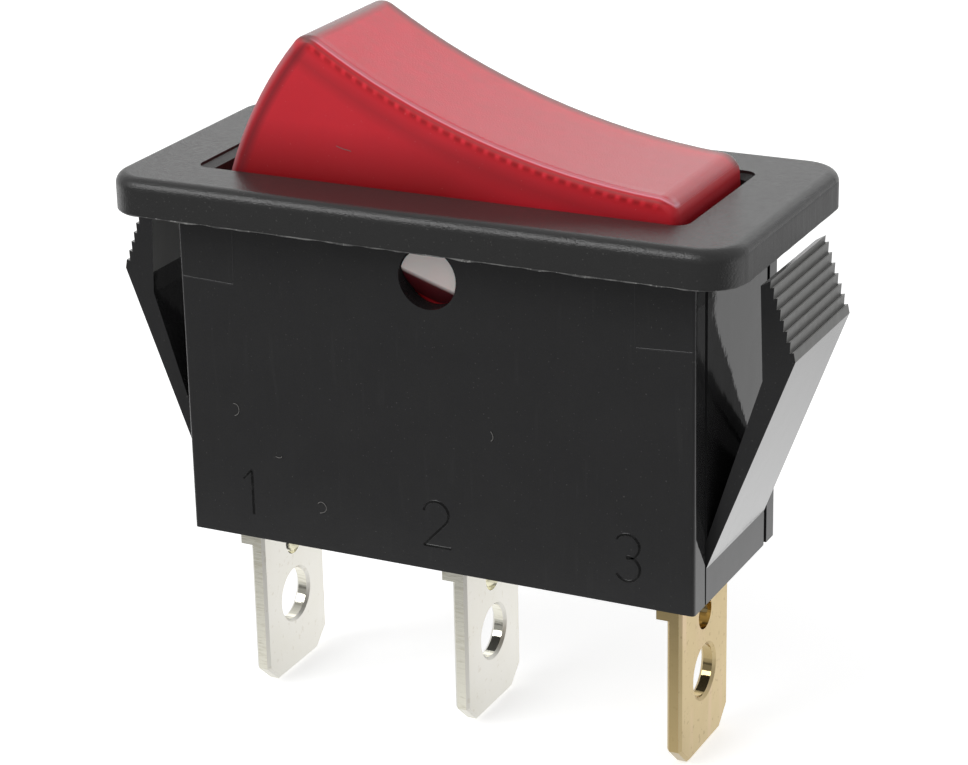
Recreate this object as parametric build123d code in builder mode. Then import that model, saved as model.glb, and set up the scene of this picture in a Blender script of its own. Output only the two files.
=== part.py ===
from build123d import *
from math import atan, cos, radians, sin, sqrt, tan
import os

# Illuminated panel rocker switch, single pole, with its right-hand end pressed.
# All lengths are millimetres and all angles degrees. The origin is the centre of the
# cover frame's underside, where the switch sits on its panel. +X runs along the switch,
# +Y across it and +Z out of the panel.

# Cover frame, on the outside of the panel
frame_length = 33.6
frame_width = 16.0
frame_thickness = 1.85
frame_corner = 2.1
frame_edge = 0.6

# Body behind the panel, with the cavity for the rocker and the contacts
body_length = 28.0
body_width = 10.9
body_depth = 17.6
body_edge = 0.2
side_wall = 1.0
end_wall = 1.2
floor_thickness = 2.0
cavity_corner = 0.5
mouth_end_flare = 0.4
mouth_side_flare = 0.3
mouth_corner = 0.7
mouth_step = 0.15
mouth_slope = 0.25

# Snap wings at the two ends, each a tapering leaf that hangs on a thin root
wing_width = 7.84
wing_tip_width = 7.5
wing_tip_reach = 3.05
wing_widest_reach = 4.34
wing_tip_drop = 0.61
wing_tip_slope = 0.3
wing_tip_thickness = 0.5
wing_teeth_depth = 3.38
wing_band = 0.46
wing_band_slant = 0.09
wing_root_rise = 1.92
wing_root_height = 1.5
wing_bend_reach = 2.72
wing_bend_drop = 5.6
tooth_pitch = 0.512
tooth_undercut = 0.03
tooth_valley = 0.05
wing_slot_width = 0.38
wing_slot_low = 0.15
wing_slot_depth = 0.15

# Pivot of the rocker
pivot_drop = 2.2
pivot_hole_radius = 1.57
pivot_clearance = 0.06
boss_inset = 0.1
boss_lead_angle = 34.0

# Rocker, measured from its pivot: u along it and v up through its middle
rocker_tilt = 18.0
rocker_side_gap = 0.2
rocker_top_height = 7.33
rocker_top_radius = 40.0
rocker_top_half = 10.25
rocker_foot_half = 12.15
rocker_foot_drop = 1.5
rocker_end_radius = 20.6
rocker_corner = 1.0
rocker_edge = 0.45
rocker_wall = 0.9
rocker_end_wall = 1.0
rocker_ceiling = 1.2
cheek_half = 3.2
cheek_slope = 2.2
cheek_drop = 3.0
prism_pitch = 0.63
prism_depth = 0.2
prism_margin = 0.4

# Plunger, its tube in the rocker and its spring
plunger_radius = 1.4
plunger_gap = 0.05
plunger_top_drop = 1.0
plunger_bore_radius = 0.95
plunger_nose = 3.0
tube_wall = 0.85
tube_lever_gap = 4.0
tube_bore_top = 4.6
plunger_spring_radius = 0.68
plunger_spring_wire = 0.28
plunger_spring_turns = 6

# Blades: quick-connect tabs in a row under the body
tab_width = 6.3
tab_thickness = 0.8
tab_length = 9.85
tab_pitch = 11.85
tab_row_offset = 0.15
tab_tip_side = 1.1
tab_tip_height = 1.0
tab_joggle = 0.55
tab_joggle_depth = 1.65
tab_slot_clearance = 0.05
solder_hole_radius = 1.4
solder_hole_drop = 5.65
small_hole_radius = 0.85
small_hole_drop = 2.4
shoulder_rise = 0.5
shoulder_slant = 0.2
tab_edge_break = 0.15
hole_edge_break = 0.15
strip_bend = 0.9

# Contact lever, its fulcrum on the common terminal, and the shelf with the fixed contact
shelf_rise = 1.82
lever_swing = 9.0
lever_width = 3.0
lever_thickness = 0.6
lever_groove_half = 0.35
lever_groove_depth = 0.2
lever_clearance = 0.05
stop_width = 1.0
stop_reach = 0.5
fulcrum_gap = 0.02
ear_gap = 0.2
ear_height = 1.2
fulcrum_step_drop = 2.93
fulcrum_step_slope = 2.0
lever_end_corner = 0.6
contact_reach = 8.2
contact_radius = 1.1
contact_head = 0.6
contact_shank = 0.6
contact_dome = 0.35
contact_flange = 0.3
contact_gap = 0.03
rivet_tail_radius = 0.85
rivet_tail = 0.22
rivet_clearance = 0.02

# Lamp circuit
bulb_radius = 2.0
bulb_wall = 0.3
bulb_inner_end = 2.9
bulb_length = 6.7
bulb_pinch_radius = 1.1
bulb_pinch_length = 0.8
bulb_shoulder = 1.6
dome_facets = 3
cradle_wall = 0.4
cradle_thickness = 0.6
cradle_places = [3.0, 4.7]
lamp_height = 3.6
lead_radius = 0.2
wire_sides = 6
lead_bend = 0.5
lead_spacing = 0.55
lead_end = 10.3
lead_side = 2.75
seal_gap = 0.01
electrode_end = 5.2
resistor_radius = 0.9
resistor_waist = 0.75
resistor_cap = 0.8
resistor_length = 3.6
resistor_start = 4.2
resistor_side = 1.6
lamp_seat = 6.0
lamp_seat_drop = 0.5
pad_length = 1.2
pad_height = 1.6
pad_width = 1.45
lamp_spring_radius = 0.62
lamp_spring_wire = 0.25
lamp_spring_turns = 8
lamp_spring_side = 2.5
lamp_spring_offset = 5.7
spring_pip_radius = 0.45
spring_pip_height = 0.3
coil_sides = 12
pedestal_length = 1.4
pedestal_reach = 1.2
arm_overhang = 1.1
stop_clearance = 0.4
seat_gap = 0.03

# Places that follow from those sizes
body_end = body_length / 2
floor_top = floor_thickness - body_depth
cavity_width = body_width - 2 * side_wall
cavity_length = body_length - 2 * end_wall
ledge_low = frame_thickness - mouth_step - mouth_slope
rocker_half_width = cavity_width / 2 - rocker_side_gap
rocker_inner_half = rocker_half_width - rocker_wall
boss_radius = pivot_hole_radius - pivot_clearance
tilt = radians(rocker_tilt)
swing = radians(lever_swing)
tab_centres = [tab_row_offset + (i - 1) * tab_pitch for i in range(3)]
tube_radius = plunger_radius + plunger_gap + tube_wall

# Shelf and fixed contact, built up from the floor
shelf_bottom = floor_top + shelf_rise
shelf_top = shelf_bottom + tab_thickness
fixed_head = contact_dome + contact_flange
dome_top = shelf_top + fixed_head
dome_radius = (contact_radius**2 + contact_dome**2) / (2 * contact_dome)

# With the right-hand end pressed the lever is down on the left, contacts closed
lever_seat = lever_groove_depth - fulcrum_gap
contact_face_drop = contact_head + lever_seat
dome_centre_z = dome_top - dome_radius
moving_face_z = dome_centre_z + (dome_radius + contact_gap) * cos(swing)
fulcrum_height = moving_face_z + contact_reach * sin(swing) + contact_face_drop * cos(swing)
moving_face_x = -contact_reach * cos(swing) + contact_face_drop * sin(swing)
fixed_contact_x = moving_face_x + (dome_radius + contact_gap) * sin(swing)

# The lever lies level at mid travel, just under the plunger
lever_half = contact_reach + contact_radius
lever_underside = fulcrum_height - lever_seat
lever_top = lever_underside + lever_thickness
plunger_reach = -pivot_drop - lever_clearance - lever_top
tube_drop = plunger_reach - tube_lever_gap

# The rocker's own frame: x along u, y along v, z towards the front of the switch
pivot = Vector(0, 0, -pivot_drop)
along = Vector(cos(tilt), 0, -sin(tilt))
upward = Vector(sin(tilt), 0, cos(tilt))
rocker_plane = Plane(origin=pivot, x_dir=along, z_dir=(0, -1, 0))


def rocker_level(v):
    """Plane across the rocker at height v above its pivot."""
    return Plane(origin=pivot + upward * v, x_dir=along, z_dir=upward)


def rocker_point(u, y, v):
    """A point given in the rocker's own directions."""
    return pivot + along * u + Vector(0, y, 0) + upward * v


def top_height(u, below=0.0):
    """Height of the rocker's concave top above the pivot, or of a surface below it."""
    radius = rocker_top_radius + below
    return rocker_top_height + rocker_top_radius - sqrt(radius**2 - u**2)


lever_direction = Vector(cos(swing), 0, sin(swing))
lever_plane = Plane(
    origin=(0, 0, fulcrum_height), x_dir=lever_direction, z_dir=(0, -1, 0)
)
lever_normal = Vector(-sin(swing), 0, cos(swing))


def lever_level(x, height):
    """Plane on the tilted lever at a distance from its fulcrum, its normal off the lever."""
    origin = Vector(0, 0, fulcrum_height) + lever_direction * x + lever_normal * height
    return Plane(origin=origin, x_dir=lever_direction, z_dir=lever_normal)


# Housing: frame, body, wings and inner ribs in one moulding
wing_tip_x = body_end + wing_tip_reach
wing_widest_x = body_end + wing_widest_reach
wing_crest_x = wing_widest_x - wing_band_slant
wing_root_bottom = wing_root_rise - body_depth
tooth_count = 1 + int(wing_teeth_depth / tooth_pitch)
tooth_step = (wing_crest_x - wing_tip_x) / tooth_count


def wing_outline(side):
    """The wing seen from the front: root, ramp, teeth from the lowest up, tip and inner face."""
    points = [
        (body_end - end_wall / 2, wing_root_bottom),
        (body_end, wing_root_bottom),
        (wing_widest_x, -wing_tip_drop - wing_teeth_depth - wing_band),
    ]
    for i in range(tooth_count):
        crest_x = wing_crest_x - i * tooth_step
        crest_z = i * tooth_pitch - wing_tip_drop - wing_teeth_depth
        points.append((crest_x, crest_z))
        points.append((crest_x - tooth_step - tooth_undercut, crest_z - tooth_valley))
    points += [
        (wing_tip_x, -wing_tip_drop),
        (wing_tip_x - wing_tip_thickness, -wing_tip_drop - wing_tip_slope),
        (body_end + wing_bend_reach, -wing_bend_drop),
        (body_end, wing_root_bottom + wing_root_height),
        (body_end - end_wall / 2, wing_root_bottom + wing_root_height),
    ]
    return [(side * x, z) for x, z in points]


def wing(side):
    """One wing, a little narrower at its tip than at its root."""
    with BuildPart() as leaf:
        with BuildSketch(Plane.XZ):
            with BuildLine():
                Polyline(*wing_outline(side), close=True)
            make_face()
        extrude(amount=wing_width / 2, both=True)
        with BuildSketch(Plane.YZ):
            with BuildLine():
                Polyline(
                    (-wing_width / 2, wing_root_bottom),
                    (wing_width / 2, wing_root_bottom),
                    (wing_tip_width / 2, -wing_tip_drop),
                    (-wing_tip_width / 2, -wing_tip_drop),
                    close=True,
                )
            make_face()
        extrude(amount=body_length, both=True, mode=Mode.INTERSECT)
    return leaf.part


stop_x = contact_reach
stop_top = (
    fulcrum_height
    - (stop_x + stop_width / 2) * tan(swing)
    - (fulcrum_height - lever_underside) / cos(swing)
    - contact_gap
)
pedestal_top = shelf_bottom - seat_gap

with BuildPart() as housing:
    with BuildSketch(Plane.XY.offset(-body_depth)):
        RectangleRounded(body_length, body_width, body_edge)
    extrude(amount=body_depth)
    with BuildSketch(Plane.XY):
        RectangleRounded(frame_length, frame_width, frame_corner)
    extrude(amount=frame_thickness)
    frame_top = housing.faces().sort_by(Axis.Z)[-1]
    fillet(frame_top.outer_wire().edges(), frame_edge)

    # Cavity, and its mouth: a sloping ledge all round under a low upright step
    with BuildSketch(Plane.XY.offset(floor_top)):
        RectangleRounded(cavity_length, cavity_width, cavity_corner)
    extrude(amount=ledge_low - floor_top, mode=Mode.SUBTRACT)
    mouth_length = cavity_length + 2 * mouth_end_flare
    mouth_width = cavity_width + 2 * mouth_side_flare
    with BuildSketch(Plane.XY.offset(ledge_low)):
        RectangleRounded(cavity_length, cavity_width, cavity_corner)
    with BuildSketch(Plane.XY.offset(ledge_low + mouth_slope)):
        RectangleRounded(mouth_length, mouth_width, mouth_corner)
    loft(mode=Mode.SUBTRACT)
    with BuildSketch(Plane.XY.offset(ledge_low + mouth_slope)):
        RectangleRounded(mouth_length, mouth_width, mouth_corner)
    extrude(amount=mouth_step, mode=Mode.SUBTRACT)

    # Snap wings, and the grooves beside them that the mould's slides leave
    for side in (1, -1):
        add(wing(side))
    for side in (1, -1):
        with BuildSketch(Plane.YZ.offset(side * (body_end - wing_slot_depth))):
            with BuildLine():
                Polyline(
                    (-wing_width / 2, -body_depth),
                    (-wing_width / 2 - wing_slot_low, -body_depth),
                    (-wing_width / 2 - wing_slot_width, 0),
                    (-wing_width / 2, 0),
                    close=True,
                )
            make_face()
            with Locations(((wing_width + wing_slot_width) / 2, -body_depth / 2)):
                Rectangle(wing_slot_width, body_depth)
        extrude(amount=side * 2 * wing_slot_depth, mode=Mode.SUBTRACT)

    # Pivot holes through both side walls
    with BuildSketch(Plane.XZ):
        with Locations((0, -pivot_drop)):
            Circle(pivot_hole_radius)
    extrude(amount=body_width / 2, both=True, mode=Mode.SUBTRACT)

    # Slots for the three blades, through the floor
    with BuildSketch(Plane.XY.offset(-body_depth)):
        for x in tab_centres:
            with Locations((x - tab_joggle, 0)):
                Rectangle(
                    tab_thickness + 2 * tab_slot_clearance,
                    tab_width + 2 * tab_slot_clearance,
                )
    extrude(amount=floor_thickness, mode=Mode.SUBTRACT)

    # Rib that the lever's free end rests on when the switch is off
    with BuildSketch(Plane.XY.offset(floor_top)):
        with Locations((stop_x, (stop_reach - cavity_width / 2) / 2)):
            Rectangle(stop_width, cavity_width / 2 + stop_reach)
    extrude(amount=stop_top - floor_top)

    # Pedestals under the two shelves that carry the lamp springs
    with BuildSketch(Plane.XY.offset(floor_top)):
        for x in (-lamp_spring_offset, lamp_spring_offset):
            with Locations((x, (lamp_spring_side + cavity_width / 2) / 2)):
                Rectangle(pedestal_length, cavity_width / 2 - lamp_spring_side + pedestal_reach)
    extrude(amount=pedestal_top - floor_top)

# Rocker: hollow translucent moulding with a concave top
corner_v = top_height(rocker_top_half)
foot_v = -rocker_foot_drop
ceiling_half = rocker_top_half - rocker_end_wall
prism_count = int(2 * (ceiling_half - prism_margin) / prism_pitch)
prism_start = -prism_count * prism_pitch / 2
boss_end = body_width / 2 - boss_inset
boss_lead = boss_radius * tan(radians(boss_lead_angle))
bulb_outer_end = bulb_inner_end + bulb_length
cradle_half = bulb_radius + cradle_wall


def ceiling_points():
    """Underside of the top: one small prism after another along the concave curve."""
    points = []
    for i in range(prism_count + 1):
        u = prism_start + i * prism_pitch
        points.append((u, top_height(u, rocker_ceiling)))
        if i < prism_count:
            ridge = u + prism_pitch / 2
            points.append((ridge, top_height(ridge, rocker_ceiling) - prism_depth))
    return points


with BuildPart() as rocker:
    with BuildSketch(rocker_plane):
        with BuildLine():
            ThreePointArc(
                (-rocker_top_half, corner_v), (0, rocker_top_height), (rocker_top_half, corner_v)
            )
            RadiusArc((rocker_top_half, corner_v), (rocker_foot_half, foot_v), rocker_end_radius)
            Polyline(
                (rocker_foot_half, foot_v),
                (cheek_half + cheek_slope, foot_v),
                (cheek_half, -cheek_drop),
                (-cheek_half, -cheek_drop),
                (-cheek_half - cheek_slope, foot_v),
                (-rocker_foot_half, foot_v),
            )
            RadiusArc((-rocker_foot_half, foot_v), (-rocker_top_half, corner_v), rocker_end_radius)
        make_face()
    extrude(amount=rocker_half_width, both=True)
    top_corners = rocker.edges().filter_by(Axis.Y).sort_by(Axis(pivot, upward))[-2:]
    fillet(top_corners, rocker_corner)
    rims = [face.edges().filter_by(GeomType.CIRCLE) for face in rocker.faces().filter_by(Axis.Y)]
    fillet([edge for rim in rims for edge in rim], rocker_edge)

    # Pivot bosses, sloped off below so that they snap into the side walls
    with BuildSketch(rocker_plane):
        Circle(boss_radius)
    extrude(amount=boss_end, both=True)
    with BuildSketch(Plane(origin=pivot, x_dir=(0, 1, 0), z_dir=along)):
        for side in (1, -1):
            with BuildLine():
                Polyline(
                    (side * boss_end, 0),
                    (side * (boss_end - boss_lead), -boss_radius),
                    (side * (boss_end - boss_lead), -2 * boss_radius),
                    (side * (boss_end + boss_lead), -2 * boss_radius),
                    (side * (boss_end + boss_lead), 0),
                    close=True,
                )
            make_face()
    extrude(amount=2 * boss_radius, both=True, mode=Mode.SUBTRACT)

    # Hollow inside, its ceiling a row of prisms that spread the lamp's light
    with BuildSketch(rocker_plane):
        with BuildLine():
            inner_foot = rocker_foot_half - rocker_end_wall
            inner_top = top_height(ceiling_half, rocker_ceiling)
            Polyline(
                (-ceiling_half, inner_top), *ceiling_points(), (ceiling_half, inner_top)
            )
            RadiusArc(
                (ceiling_half, inner_top), (inner_foot, foot_v), rocker_end_radius - rocker_end_wall
            )
            Polyline(
                (inner_foot, foot_v),
                (inner_foot, -2 * cheek_drop),
                (-inner_foot, -2 * cheek_drop),
                (-inner_foot, foot_v),
            )
            RadiusArc(
                (-inner_foot, foot_v), (-ceiling_half, inner_top), rocker_end_radius - rocker_end_wall
            )
        make_face()
    extrude(amount=rocker_inner_half, both=True, mode=Mode.SUBTRACT)

    # Cradles that the bulb and the resistor are pressed up into
    with BuildSketch(rocker_level(lamp_height)):
        for place in cradle_places:
            with Locations((-bulb_inner_end - place, 0)):
                Rectangle(cradle_thickness, 2 * cradle_half)
        with Locations((resistor_start + resistor_length / 2, -resistor_side)):
            Rectangle(cradle_thickness, 2 * (resistor_radius + cradle_wall))
    extrude(until=Until.NEXT)
    with BuildSketch(Plane(origin=rocker_point(0, 0, lamp_height), x_dir=(0, 1, 0), z_dir=along)):
        Circle(bulb_radius + seat_gap)
    extrude(amount=-bulb_outer_end, mode=Mode.SUBTRACT)
    with BuildSketch(
        Plane(origin=rocker_point(0, -resistor_side, lamp_height), x_dir=(0, 1, 0), z_dir=along)
    ):
        Circle(resistor_radius + seat_gap)
    extrude(amount=resistor_start + resistor_length, mode=Mode.SUBTRACT)

    # Tube for the plunger and its spring
    with BuildSketch(rocker_level(-tube_drop)):
        Circle(tube_radius)
    extrude(amount=tube_drop + top_height(0, rocker_ceiling) + prism_depth)
    with BuildSketch(rocker_level(-tube_drop)):
        Circle(plunger_radius + plunger_gap)
    extrude(amount=tube_drop + tube_bore_top, mode=Mode.SUBTRACT)

    # Pads on the rear cheek that the lamp springs push the lead ends against
    with BuildSketch(rocker_level(lead_radius - lamp_seat_drop)):
        for u in (-lamp_seat, lamp_seat):
            with Locations((u, rocker_inner_half - pad_width / 2 + rocker_wall / 4)):
                Rectangle(pad_length, pad_width + rocker_wall / 2)
    extrude(amount=pad_height)

# Plunger, drawn at its middle travel, with the bore for its spring
plunger_top = -plunger_top_drop
plunger_bore_end = plunger_nose - plunger_reach

with BuildPart() as plunger:
    with BuildSketch(rocker_plane):
        with BuildLine():
            RadiusArc(
                (0, -plunger_reach), (plunger_radius, plunger_radius - plunger_reach), -plunger_radius
            )
            Polyline(
                (plunger_radius, plunger_radius - plunger_reach),
                (plunger_radius, plunger_top),
                (plunger_bore_radius, plunger_top),
                (plunger_bore_radius, plunger_bore_end),
                (0, plunger_bore_end),
                (0, -plunger_reach),
            )
        make_face()
    revolve(axis=Axis(pivot, upward))


def coil(base, length, radius, wire, turns):
    """Spring that stands on a plane, of square-drawn wire, each turn of equal straight runs."""
    points = []
    for i in range(turns * coil_sides + 1):
        angle = radians(360 / coil_sides * i)
        rise = length * i / (turns * coil_sides)
        point = Vector(radius * cos(angle), radius * sin(angle), rise)
        points.append(base.from_local_coords(point))
    with BuildPart() as spring:
        with BuildLine():
            Polyline(*points)
        with BuildSketch(Plane(origin=points[0], z_dir=points[1] - points[0])):
            RegularPolygon(wire / 2, 4)
        sweep(transition=Transition.RIGHT)
    return spring.part


plunger_spring_base = plunger_bore_end + plunger_spring_wire / 2 + seat_gap
plunger_spring_length = tube_bore_top - plunger_spring_base - plunger_spring_wire / 2 - seat_gap

with BuildPart() as plunger_spring:
    add(
        coil(
            rocker_level(plunger_spring_base),
            plunger_spring_length,
            plunger_spring_radius,
            plunger_spring_wire,
            plunger_spring_turns,
        )
    )

# Lever: a straight strip with a groove underneath, which rides on the fulcrum
with BuildPart() as contact_lever:
    with BuildSketch(lever_plane):
        with Locations((0, lever_thickness / 2 + lever_underside - fulcrum_height)):
            Rectangle(2 * lever_half, lever_thickness)
        with Locations((0, lever_groove_depth / 2 + lever_underside - fulcrum_height)):
            Rectangle(2 * lever_groove_half, lever_groove_depth, mode=Mode.SUBTRACT)
    extrude(amount=lever_width / 2, both=True)
    upright_edges = [
        edge for edge in contact_lever.edges() if abs((edge % 0.5).dot(lever_normal)) > 0.99
    ]
    fillet(ShapeList(upright_edges).sort_by(SortBy.LENGTH)[-4:], lever_end_corner)
    with BuildSketch(lever_level(-contact_reach, lever_underside - fulcrum_height)):
        Circle(contact_shank + rivet_clearance)
    extrude(amount=lever_thickness, mode=Mode.SUBTRACT)

# Moving contact: a rivet whose head faces down, closed over on top of the lever
with BuildPart() as moving_contact:
    with BuildSketch(lever_level(-contact_reach, lever_underside - fulcrum_height - contact_head)):
        Circle(contact_radius)
    extrude(amount=contact_head)
    with BuildSketch(lever_level(-contact_reach, lever_underside - fulcrum_height)):
        Circle(contact_shank)
    extrude(amount=lever_thickness)
    with BuildSketch(lever_level(-contact_reach, lever_top - fulcrum_height)):
        Circle(rivet_tail_radius)
    extrude(amount=rivet_tail)

# Fixed contact: a domed rivet in the left terminal's shelf
with BuildPart() as fixed_contact:
    with BuildSketch(Plane(origin=(fixed_contact_x, 0, 0), x_dir=(1, 0, 0), z_dir=(0, -1, 0))):
        with BuildLine():
            Polyline(
                (0, dome_top),
                (0, shelf_bottom - rivet_tail),
                (rivet_tail_radius, shelf_bottom - rivet_tail),
                (rivet_tail_radius, shelf_bottom),
                (contact_shank, shelf_bottom),
                (contact_shank, shelf_top),
                (contact_radius, shelf_top),
                (contact_radius, dome_top - contact_dome),
            )
            RadiusArc((contact_radius, dome_top - contact_dome), (0, dome_top), -dome_radius)
        make_face()
    revolve(axis=Axis((fixed_contact_x, 0, 0), (0, 0, 1)))

# Terminals: flat strip, cropped to a tab below and bent or cropped above
tab_tip = -body_depth - tab_length
tab_half = tab_thickness / 2
foot_z = -body_depth - tab_joggle_depth


def blade_left(centre):
    """The blade's left face from its tip up to the square foot under the body."""
    return [
        (centre - tab_half, tab_tip),
        (centre - tab_half, foot_z),
        (centre - tab_joggle - tab_half, foot_z),
    ]


def blade_right(centre):
    """The blade's right face from the slanting shoulder down to its tip."""
    return [
        (centre - tab_joggle + tab_half, foot_z + shoulder_rise + shoulder_slant),
        (centre + tab_half, foot_z + shoulder_rise),
        (centre + tab_half, tab_tip),
    ]


def tab_outline(top):
    """The strip seen along the switch, with its tapered tip."""
    half = tab_width / 2
    return [
        (-half, top),
        (-half, tab_tip + tab_tip_height),
        (tab_tip_side - half, tab_tip),
        (half - tab_tip_side, tab_tip),
        (half, tab_tip + tab_tip_height),
        (half, top),
    ]


def terminal(centre, upper, bends, top):
    """A terminal from the front outline of its upper end and the radii of its corners."""
    left, right = blade_left(centre), blade_right(centre)
    with BuildPart() as strip:
        with BuildSketch(Plane.XZ):
            with BuildLine():
                FilletPolyline(
                    *left, *upper, *right, radius=[0] * len(left) + bends + [0] * len(right), close=True
                )
            make_face()
        extrude(amount=tab_width / 2, both=True)
        with BuildSketch(Plane.YZ):
            with BuildLine():
                Polyline(*tab_outline(top), close=True)
            make_face()
        extrude(amount=body_length, both=True, mode=Mode.INTERSECT)
        outer_edges = [
            edge for edge in strip.edges()
            if edge.center().Z < foot_z and abs(edge.center().X - centre) > tab_half / 2
        ]
        chamfer(outer_edges, tab_edge_break)
        with BuildSketch(Plane.YZ.offset(centre)):
            with Locations((0, -body_depth - solder_hole_drop)):
                Circle(solder_hole_radius)
            with Locations((0, -body_depth - small_hole_drop)):
                Circle(small_hole_radius)
        extrude(amount=tab_thickness, both=True, mode=Mode.SUBTRACT)
        rims = [
            edge for edge in strip.edges().filter_by(GeomType.CIRCLE)
            if abs(edge.radius - solder_hole_radius) < hole_edge_break / 2
        ]
        chamfer(rims, hole_edge_break)
    return strip.part


arm_end = lamp_spring_offset - arm_overhang
left_strip = tab_centres[0] - tab_joggle
right_strip = tab_centres[2] - tab_joggle
middle_strip = tab_centres[1] - tab_joggle

with BuildPart() as terminal_switched:
    add(
        terminal(
            tab_centres[0],
            [
                (left_strip - tab_half, shelf_top),
                (-arm_end, shelf_top),
                (-arm_end, shelf_bottom),
                (left_strip + tab_half, shelf_bottom),
            ],
            [strip_bend, 0, 0, strip_bend - tab_thickness],
            0,
        )
    )
    with BuildSketch(Plane.XY.offset(shelf_bottom)):
        with Locations((fixed_contact_x, 0)):
            Circle(contact_shank + rivet_clearance)
    extrude(amount=tab_thickness, mode=Mode.SUBTRACT)
    with BuildSketch(Plane.XY.offset(shelf_top)):
        with Locations((-lamp_spring_offset, lamp_spring_side)):
            Circle(spring_pip_radius)
    extrude(amount=spring_pip_height)

with BuildPart() as terminal_lamp:
    add(
        terminal(
            tab_centres[2],
            [
                (right_strip - tab_half, shelf_bottom),
                (arm_end, shelf_bottom),
                (arm_end, shelf_top),
                (right_strip + tab_half, shelf_top),
            ],
            [strip_bend - tab_thickness, 0, 0, strip_bend],
            0,
        )
    )
    # The arm is cropped to one side, to pass the lever's stop
    arm_inner = stop_reach + stop_clearance
    with BuildSketch(Plane.XY.offset(shelf_bottom - tab_half)):
        with Locations(((arm_end + right_strip - strip_bend) / 2, (arm_inner - tab_width / 2) / 2)):
            Rectangle(right_strip - strip_bend - arm_end + tab_half, arm_inner + tab_width / 2)
    extrude(amount=2 * tab_thickness, mode=Mode.SUBTRACT)
    with BuildSketch(Plane.XY.offset(shelf_top)):
        with Locations((lamp_spring_offset, lamp_spring_side)):
            Circle(spring_pip_radius)
    extrude(amount=spring_pip_height)

# The middle strip steps sideways to the centre line and ends in the knife-edge fulcrum
step_low = fulcrum_height - fulcrum_step_drop
step_high = step_low + fulcrum_step_slope * (tab_joggle - tab_row_offset)
step_lag = tab_thickness * tan(atan(1 / fulcrum_step_slope) / 2)

with BuildPart() as terminal_common:
    add(
        terminal(
            tab_centres[1],
            [
                (middle_strip - tab_half, step_low),
                (-tab_half, step_high),
                (-tab_half, fulcrum_height - tab_half),
                (0, fulcrum_height),
                (tab_half, fulcrum_height - tab_half),
                (tab_half, step_high - step_lag),
                (middle_strip + tab_half, step_low - step_lag),
            ],
            [0] * 7,
            0,
        )
    )
    # Ears that keep the lever from sliding off sideways
    ear_width = tab_width / 2 - lever_width / 2 - ear_gap
    with BuildSketch(Plane.XY.offset(fulcrum_height - tab_thickness)):
        for side in (1, -1):
            with Locations((0, side * (tab_width - ear_width) / 2)):
                Rectangle(tab_thickness, ear_width)
    extrude(amount=tab_thickness + ear_height)

# Lamp springs between the terminals' arms and the lead ends, one long and one short
lamp_spring_base = shelf_top + lamp_spring_wire / 2 + seat_gap


def lamp_spring(side):
    """The spring at one end, as long as the rocker's tilt leaves room for."""
    seat = rocker_point(side * lamp_seat, 0, -lamp_seat_drop - lead_radius)
    length = seat.Z - lamp_spring_wire / 2 - seat_gap - lamp_spring_base
    return coil(
        Plane(origin=(side * lamp_spring_offset, lamp_spring_side, lamp_spring_base)),
        length,
        lamp_spring_radius,
        lamp_spring_wire,
        lamp_spring_turns,
    )


with BuildPart() as lamp_spring_a:
    add(lamp_spring(-1))

with BuildPart() as lamp_spring_b:
    add(lamp_spring(1))

# Glass bulb along the rocker, domed inwards and pinched on its two wires outwards
def glass_outline(inset):
    """Half of the bulb's outline, or of its inside at the wall's thickness below."""
    radius = bulb_radius - inset
    points = []
    for i in range(dome_facets + 1):
        angle = radians(90 / dome_facets * i)
        dome_u = -bulb_inner_end - bulb_radius + radius * cos(angle)
        points.append((dome_u, lamp_height + radius * sin(angle)))
    neck = bulb_pinch_length + inset - bulb_outer_end
    points += [
        (bulb_shoulder - bulb_outer_end, lamp_height + radius),
        (neck, lamp_height + bulb_pinch_radius - inset),
    ]
    if inset == 0:
        points += [(-bulb_outer_end, lamp_height + bulb_pinch_radius), (-bulb_outer_end, lamp_height)]
    else:
        points.append((neck, lamp_height))
    return points


with BuildPart() as lamp_bulb:
    with BuildSketch(rocker_plane):
        with BuildLine():
            Polyline(*glass_outline(0), close=True)
        make_face()
        with BuildLine():
            Polyline(*glass_outline(bulb_wall), close=True)
        make_face(mode=Mode.SUBTRACT)
    revolve(axis=Axis(rocker_point(0, 0, lamp_height), along))
    with BuildSketch(
        Plane(origin=rocker_point(-bulb_outer_end, 0, lamp_height), x_dir=(0, 1, 0), z_dir=along)
    ):
        for y in (-lead_spacing, lead_spacing):
            with Locations((y, 0)):
                Circle(lead_radius + seal_gap)
    extrude(amount=bulb_pinch_length + 2 * bulb_wall, mode=Mode.SUBTRACT)


def bent_wire(points):
    """Fine wire through corner points given in the rocker's own directions."""
    with BuildPart() as wire:
        with BuildLine() as path:
            FilletPolyline(*[rocker_point(*point) for point in points], radius=lead_bend)
        with BuildSketch(Plane(origin=path.line @ 0, z_dir=path.line % 0)):
            RegularPolygon(lead_radius, wire_sides)
        sweep()
    return wire.part


lead_tip_y = rocker_inner_half - seat_gap

with BuildPart() as lamp_lead_a:
    add(
        bent_wire(
            [
                (-electrode_end, lead_spacing, lamp_height),
                (-lead_end, lead_spacing, lamp_height),
                (-lead_end, lead_spacing, -lamp_seat_drop),
                (-lamp_seat, lead_spacing, -lamp_seat_drop),
                (-lamp_seat, lead_tip_y, -lamp_seat_drop),
            ]
        )
    )

with BuildPart() as lamp_lead_b:
    add(
        bent_wire(
            [
                (-electrode_end, -lead_spacing, lamp_height),
                (-lead_end, -lead_spacing, lamp_height),
                (-lead_end, -lead_side, lamp_height),
                (resistor_start - 3 * lead_bend, -lead_side, lamp_height),
                (resistor_start - 3 * lead_bend, -resistor_side, lamp_height),
                (resistor_start, -resistor_side, lamp_height),
            ]
        )
    )

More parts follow.
